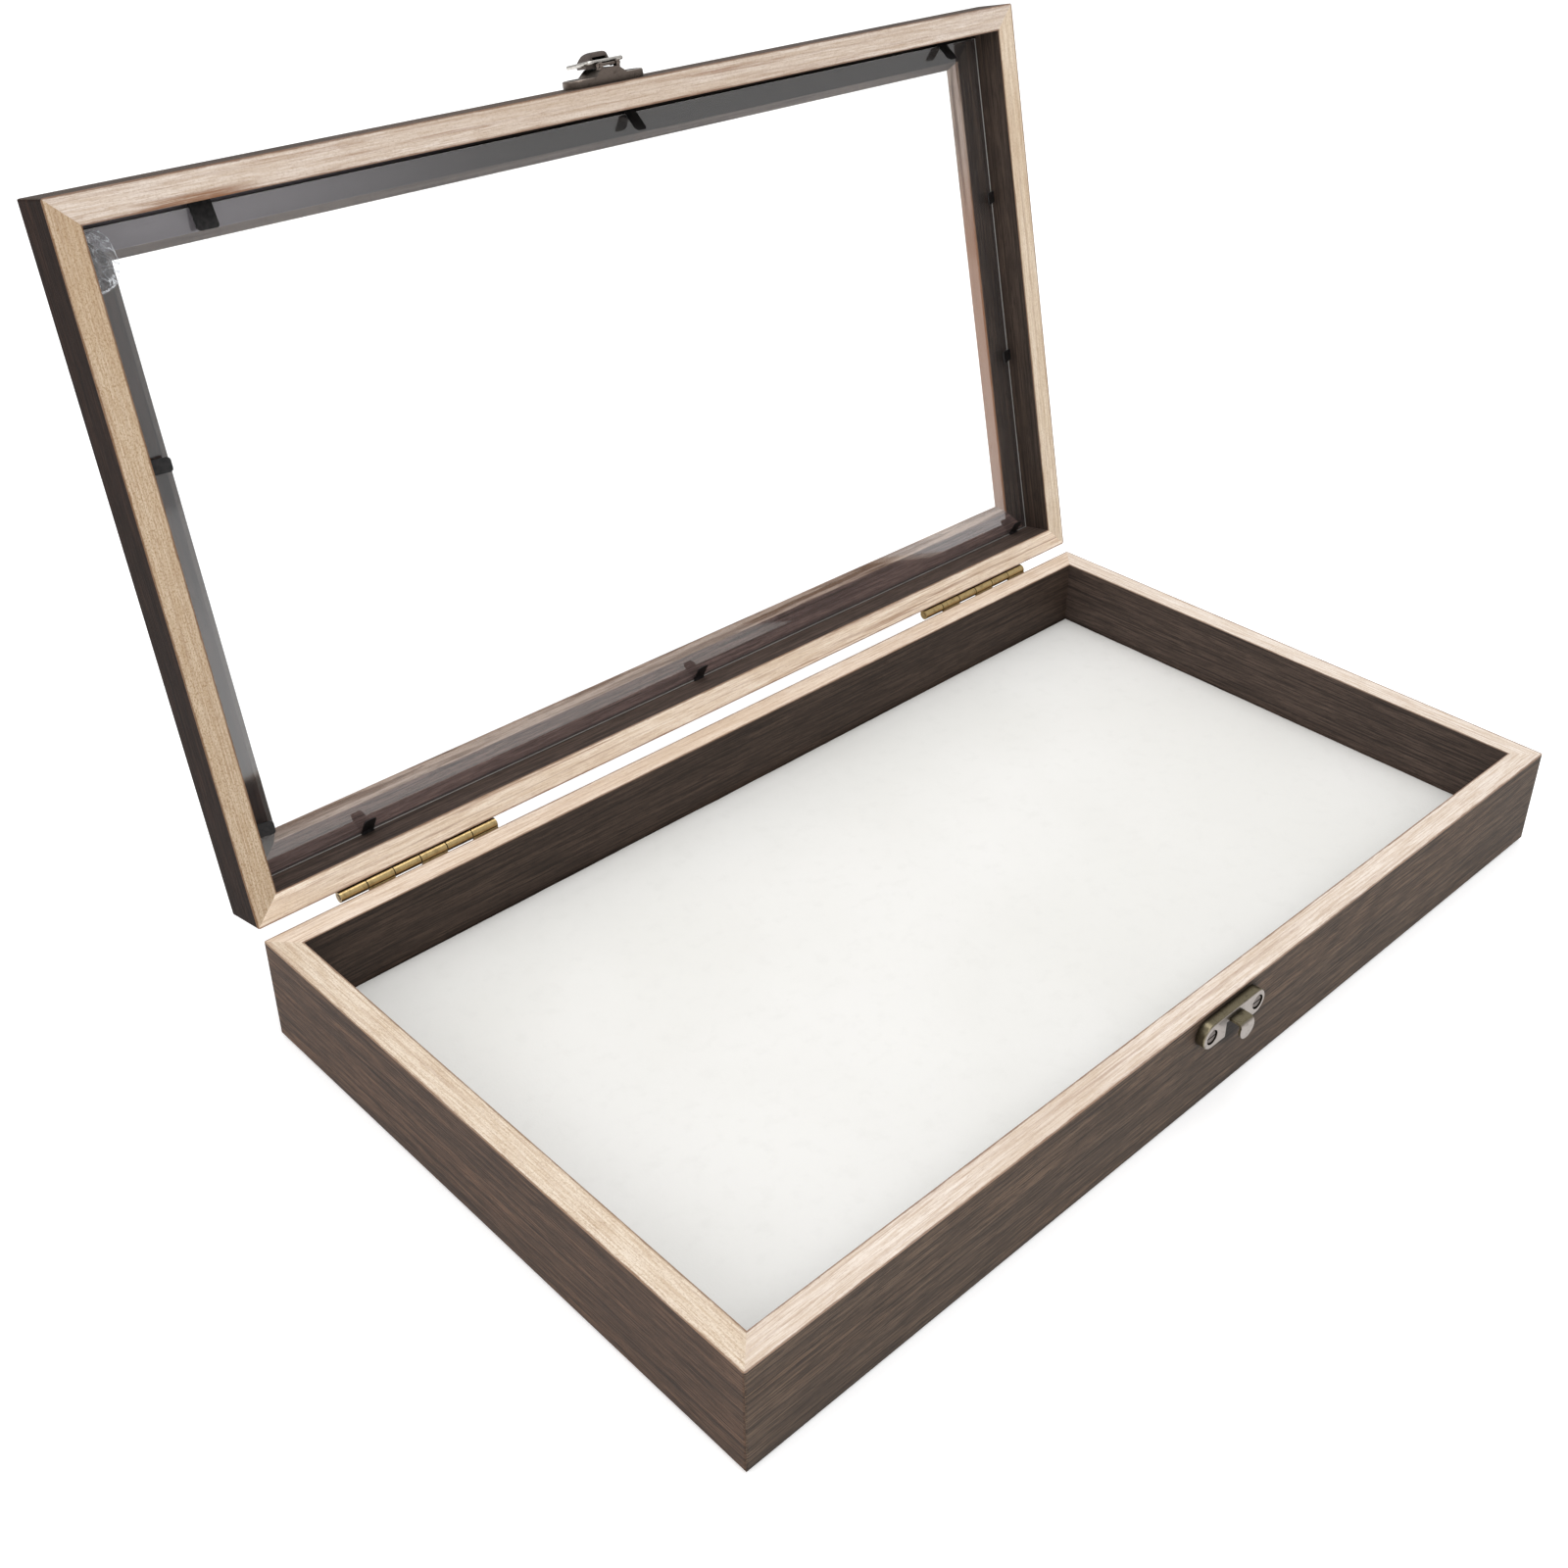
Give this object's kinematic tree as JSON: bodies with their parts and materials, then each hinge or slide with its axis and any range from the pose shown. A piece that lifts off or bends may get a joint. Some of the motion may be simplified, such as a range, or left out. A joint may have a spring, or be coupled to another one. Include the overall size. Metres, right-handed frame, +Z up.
{
  "type": "hinged display case",
  "caption": "Hinged wooden display case for pins: mitred tray with a white foam pad, framed clear lid held at a stop, brass hinges and a toggle latch.",
  "frame": {"origin": "centre of the tray's underside", "axes": "+X along the long side, +Y from the latch towards the hinges, +Z up out of the tray"},
  "size_m": [0.35, 0.2695, 0.2394],
  "materials": {
    "base_wood": "dark stained, fine grain, paler on the upper faces",
    "lid_wood": "dark stained, fine grain, paler on the faces that meet the tray",
    "floor_board": "dark stained board",
    "foam": "white closed-cell foam, matt, fine specks",
    "glazing": "clear flat sheet",
    "film": "clear thin film",
    "tabs": "black, satin",
    "hinge_metal": "antique, satin",
    "hinge_screws": "antique, satin",
    "latch_metal": "bronze plated, polished over dark hollows",
    "latch_screws": "bronze plated"
  },
  "bodies": {
    "base": {"base_front_rail": "base_wood", "base_back_rail": "base_wood", "base_left_rail": "base_wood", "base_right_rail": "base_wood", "base_panel": "floor_board", "foam_pad": "foam", "catch_plate": "latch_metal", "catch_screws": "latch_screws", "hinge_left_base_leaf": "hinge_metal", "hinge_left_pin": "hinge_metal", "hinge_left_base_screws": "hinge_screws", "hinge_right_base_leaf": "hinge_metal", "hinge_right_pin": "hinge_metal", "hinge_right_base_screws": "hinge_screws"},
    "lid": {"lid_front_rail": "lid_wood", "lid_back_rail": "lid_wood", "lid_left_rail": "lid_wood", "lid_right_rail": "lid_wood", "glazing_sheet": "glazing", "protective_film": "film", "front_tabs": "tabs", "back_tabs": "tabs", "left_tabs": "tabs", "right_tabs": "tabs", "hinge_left_lid_leaf": "hinge_metal", "hinge_left_lid_screws": "hinge_screws", "hinge_right_lid_leaf": "hinge_metal", "hinge_right_lid_screws": "hinge_screws", "hasp_plate": "latch_metal", "hasp_screws": "latch_screws", "lever_pin": "latch_metal"},
    "lever": {"latch_lever": "latch_metal"},
    "loop": {"wire_loop": "latch_metal"}
  },
  "joints": [
    {"name": "lid_hinge", "type": "hinge", "parent": "base", "child": "lid", "pos_m": [0, 0.1021, 0.03495], "axis": [1, 0, 0], "range_deg": [0, 102.3]},
    {"name": "lever_pivot", "type": "hinge", "parent": "lid", "child": "lever", "pos_m": [0.00035, 0.15005, 0.23682], "axis": [1, 0, 0], "range_deg": [0, 120]},
    {"name": "loop_swing", "type": "hinge", "parent": "lever", "child": "loop", "pos_m": [0.00035, 0.15144, 0.23754], "axis": [1, 0, 0], "range_deg": [0, 50]}
  ]
}
